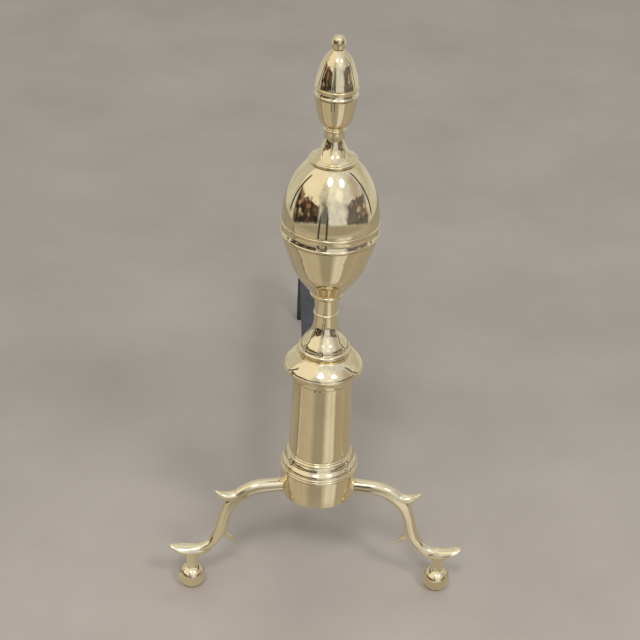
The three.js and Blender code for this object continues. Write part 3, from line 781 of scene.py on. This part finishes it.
    # floor beyond the modelled one
    c = paint(c, (0.375, 0.342, 0.30), math_node(nt, "SUBTRACT", 1.0, above(math_node(nt, "ADD", el, side_on), -9.5, 2)))
    # soft lights
    for azimuth, elevation, core, edge, power in ((-11.5, 51.5, 0.8, 9.0, 3.6), (36, 46, 0.8, 8.5, 3.0), (4, 47, 2.0, 34.0, 0.22), (20, 29, 0.5, 13.0, 0.22)):
        a_, e_ = math.radians(azimuth), math.radians(elevation)
        dot = new(nt, "ShaderNodeVectorMath", operation="DOT_PRODUCT")
        nt.links.new(co, dot.inputs[0])
        dot.inputs[1].default_value = (math.sin(a_) * math.cos(e_), -math.cos(a_) * math.cos(e_), math.sin(e_))
        spot = new(nt, "ShaderNodeMapRange", interpolation_type="SMOOTHERSTEP")
        spot.inputs["From Min"].default_value = math.cos(math.radians(edge))
        spot.inputs["From Max"].default_value = math.cos(math.radians(core))
        nt.links.new(dot.outputs["Value"], spot.inputs["Value"])
        glow = new(nt, "ShaderNodeMix", data_type="RGBA", blend_type="ADD")
        nt.links.new(spot.outputs["Result"], glow.inputs[0])
        nt.links.new(c, glow.inputs[6])
        glow.inputs[7].default_value = (power, power * 0.99, power * 0.97, 1)
        c = glow.outputs[2]

    path = new(nt, "ShaderNodeLightPath")
    warm = new(nt, "ShaderNodeMix", data_type="RGBA", blend_type="MULTIPLY")
    nt.links.new(path.outputs["Is Glossy Ray"], warm.inputs[0])
    nt.links.new(c, warm.inputs[6])
    warm.inputs[7].default_value = (0.995, 0.98, 0.93, 1)
    studio = new(nt, "ShaderNodeBackground")
    nt.links.new(math_node(nt, "SUBTRACT", 1.0, math_node(nt, "MULTIPLY", path.outputs["Is Diffuse Ray"], 0.42)), studio.inputs["Strength"])
    nt.links.new(warm.outputs[2], studio.inputs["Color"])
    plain = new(nt, "ShaderNodeBackground")
    plain.inputs["Color"].default_value = (0.44, 0.405, 0.36, 1)
    plain.inputs["Strength"].default_value = 1.0
    shown = new(nt, "ShaderNodeMixShader")
    nt.links.new(path.outputs["Is Camera Ray"], shown.inputs[0])
    nt.links.new(studio.outputs[0], shown.inputs[1])
    nt.links.new(plain.outputs[0], shown.inputs[2])
    nt.links.new(shown.outputs[0], out.inputs[0])


world()


def glossy_only(ob):
    ob.visible_camera = False
    ob.visible_diffuse = False
    ob.visible_shadow = False
    ob.visible_transmission = False
    ob.visible_volume_scatter = False


def painted_floor_reflection():
    """Glowing pale and grey sheet lying on the floor in front, out of the picture; only the polished metal sees it. It
    is a painted reflection of the floor: pale lit sectors, and grey and dark sectors of painted shade.
    """
    mat = bpy.data.materials.new("painted_floor_reflection")
    mat.use_nodes = True
    nt = mat.node_tree
    nt.nodes.clear()
    out = new(nt, "ShaderNodeOutputMaterial")
    co = new(nt, "ShaderNodeTexCoord").outputs["Object"]
    sep = new(nt, "ShaderNodeSeparateXYZ")
    nt.links.new(mapping(nt, co, location=(0, -COL_Y * MM, 0)), sep.inputs[0])
    x, y, _ = sep.outputs
    turnf = math_node(nt, "ADD", math_node(nt, "MULTIPLY", math_node(nt, "ARCTAN2", x, math_node(nt, "MULTIPLY", y, -1.0)), 0.5 / math.pi), 0.5)

    def at(az):
        return az / 360 + 0.5

    # painted reflection: pale lit sectors and grey and dark sectors of painted shade, set by azimuth round the column
    dark, mid, lit, warm = (0.36, 0.33, 0.28), (0.50, 0.448, 0.37), (0.80, 0.755, 0.71), (0.41, 0.354, 0.287)
    glow = ramp(nt, turnf, [
        (at(-120), (0.38, 0.335, 0.28)), (at(-97), (0.38, 0.335, 0.28)), (at(-92), (0.21, 0.175, 0.135)), (at(-87), (0.57, 0.52, 0.45)), (at(-76), mid), (at(-38), (0.54, 0.485, 0.40)), (at(-22), dark),
        (at(5), dark), (at(15), (0.60, 0.565, 0.52)), (at(23), lit), (at(34), (0.68, 0.645, 0.60)), (at(43), lit), (at(51), warm), (at(84), (0.45, 0.394, 0.32)), (at(92), warm), (at(120), warm)])
    comb = new(nt, "ShaderNodeCombineXYZ")
    nt.links.new(turnf, comb.inputs[0])
    # painted reflection streaks: the glow brightens and dims in narrow streaks by azimuth
    streak = noise(nt, mapping(nt, comb.outputs[0], scale=(90, 1, 1)), 1.0, 2.0, 0.6)
    em = new(nt, "ShaderNodeEmission")
    nt.links.new(glow, em.inputs["Color"])
    nt.links.new(math_node(nt, "ADD", 0.80, math_node(nt, "MULTIPLY", streak, 0.40)), em.inputs["Strength"])
    # the inner edge melts into the floor
    away = math_node(nt, "SQRT", math_node(nt, "ADD", math_node(nt, "MULTIPLY", x, x), math_node(nt, "MULTIPLY", y, y)))
    melt = new(nt, "ShaderNodeMapRange", interpolation_type="SMOOTHSTEP")
    melt.inputs["From Min"].default_value = 0.045
    melt.inputs["From Max"].default_value = 0.17
    nt.links.new(away, melt.inputs["Value"])
    clear = new(nt, "ShaderNodeBsdfTransparent")
    soft = new(nt, "ShaderNodeMixShader")
    nt.links.new(melt.outputs["Result"], soft.inputs[0])
    nt.links.new(clear.outputs[0], soft.inputs[1])
    nt.links.new(em.outputs[0], soft.inputs[2])
    nt.links.new(soft.outputs[0], out.inputs[0])
    bm = bmesh.new()
    n, r0, r1 = 48, 0.04, 1.0
    a0, a1 = math.radians(-118), math.radians(118)
    rows = []
    for k in range(n + 1):
        a = a0 + (a1 - a0) * k / n
        rows.append([bm.verts.new((r * math.sin(a), COL_Y * MM - r * math.cos(a), 0.0006)) for r in (r0, r1)])
    for p, q in zip(rows[:-1], rows[1:]):
        bm.faces.new((p[0], p[1], q[1], q[0]))
    me = bpy.data.meshes.new("painted_floor_reflection")
    bm.to_mesh(me)
    bm.free()
    me.materials.append(mat)
    ob = bpy.data.objects.new("painted_floor_reflection", me)
    bpy.context.scene.collection.objects.link(ob)
    glossy_only(ob)


def painted_dark_reflection(name, azimuth, distance, width, height, lean):
    """A narrow dark upright standing in front, with a strip on the floor below it, seen only by the polished metal. It
    is a painted dark reflection: the upright glows dimly though it is no lamp, and the floor strip is a painted shadow.
    """
    mat = bpy.data.materials.get("painted_dark_reflection_glow")
    if mat is None:
        mat = bpy.data.materials.new("painted_dark_reflection_glow")
        mat.use_nodes = True
        nt = mat.node_tree
        nt.nodes.clear()
        # painted dark reflection: a dim glow, not a lamp
        em = new(nt, "ShaderNodeEmission")
        em.inputs["Color"].default_value = (0.07, 0.062, 0.055, 1)
        o = new(nt, "ShaderNodeOutputMaterial")
        nt.links.new(em.outputs[0], o.inputs[0])
    bm = bmesh.new()
    rows = []
    for d, z, w, turn_ in ((0.62, 0.0012, 0.75, -lean), (0.80, 0.0012, 1.0, -0.5 * lean), (distance, 0.0012, 1.25, 0.0), (distance, height * 0.5, 1.3, 0.6 * lean), (distance, height, 0.6, 1.2 * lean)):
        a = math.radians(azimuth + turn_)
        across = Vector((math.cos(a), math.sin(a), 0)) * width * w / 2
        at = Vector((math.sin(a) * d, COL_Y * MM - math.cos(a) * d, z))
        rows.append((bm.verts.new(at - across), bm.verts.new(at + across)))
    for p, q in zip(rows[:-1], rows[1:]):
        bm.faces.new((p[0], p[1], q[1], q[0]))
    me = bpy.data.meshes.new(name)
    bm.to_mesh(me)
    bm.free()
    me.materials.append(mat)
    ob = bpy.data.objects.new(name, me)
    bpy.context.scene.collection.objects.link(ob)
    glossy_only(ob)


painted_floor_reflection()
# painted dark reflections: two dark uprights with floor strips, seen only by the polished metal
painted_dark_reflection("painted_dark_reflection_left", -28.0, 1.05, 0.062, 0.44, 2.5)
painted_dark_reflection("painted_dark_reflection_right", -10.0, 1.05, 0.062, 0.52, 0.8)


def area(name, azimuth, elevation, distance, size, radiance, colour=(1, 0.99, 0.98)):
    """A soft panel that faces the andiron; azimuth 0 is in front, positive to the right."""
    li = bpy.data.lights.new(name, "AREA")
    li.shape = "DISK"
    li.size = size
    li.energy = radiance * math.pi * math.pi * size * size / 4
    li.color = colour
    a, e = math.radians(azimuth), math.radians(elevation)
    aim = Vector((0, COL_Y * MM, 0.43))
    at = aim + distance * Vector((math.sin(a) * math.cos(e), -math.cos(a) * math.cos(e), math.sin(e)))
    ob = bpy.data.objects.new(name, li)
    ob.location = at
    ob.rotation_euler = (aim - at).to_track_quat("-Z", "Y").to_euler()
    bpy.context.scene.collection.objects.link(ob)
    ob.visible_glossy = False
    return ob


area("lamp_front_left", -11.5, 51.5, 3.0, 0.62, 19.0)
area("lamp_front_right", 36, 46, 3.0, 0.62, 15.0)
area("lamp_back", 160, 62, 3.0, 0.9, 2.6)

# Camera: 32 degrees down, a slight turn round the column and a slight roll.
PSI = math.radians(2.6)
PITCH = math.radians(32)
ROLL = math.atan(0.04576)
turn = Matrix.Rotation(-PSI, 3, "Z")
pos = turn @ Vector((-5.0, -1125.5, 0))
right0 = turn @ Vector((1, 0, 0))
look = turn @ Vector((0, math.cos(PITCH), -math.sin(PITCH)))
up0 = right0.cross(look)
right = right0 * math.cos(ROLL) + up0 * math.sin(ROLL)
up = up0 * math.cos(ROLL) - right0 * math.sin(ROLL)
cam_data = bpy.data.cameras.new("camera")
cam_data.sensor_width = 36
cam_data.lens = 1500 / 640 * 36
cam_data.clip_start = 0.05
cam_data.clip_end = 50
cam = bpy.data.objects.new("camera", cam_data)
bpy.context.scene.collection.objects.link(cam)
m = Matrix((right, up, -look)).transposed().to_4x4()
m.translation = Vector((pos.x * MM, (pos.y + COL_Y) * MM, 995.9 * MM))
cam.matrix_world = m
bpy.context.scene.camera = cam

see = bpy.context.scene.view_settings
see.view_transform = "Standard"
see.look = "None"

bpy.context.view_layer.update()
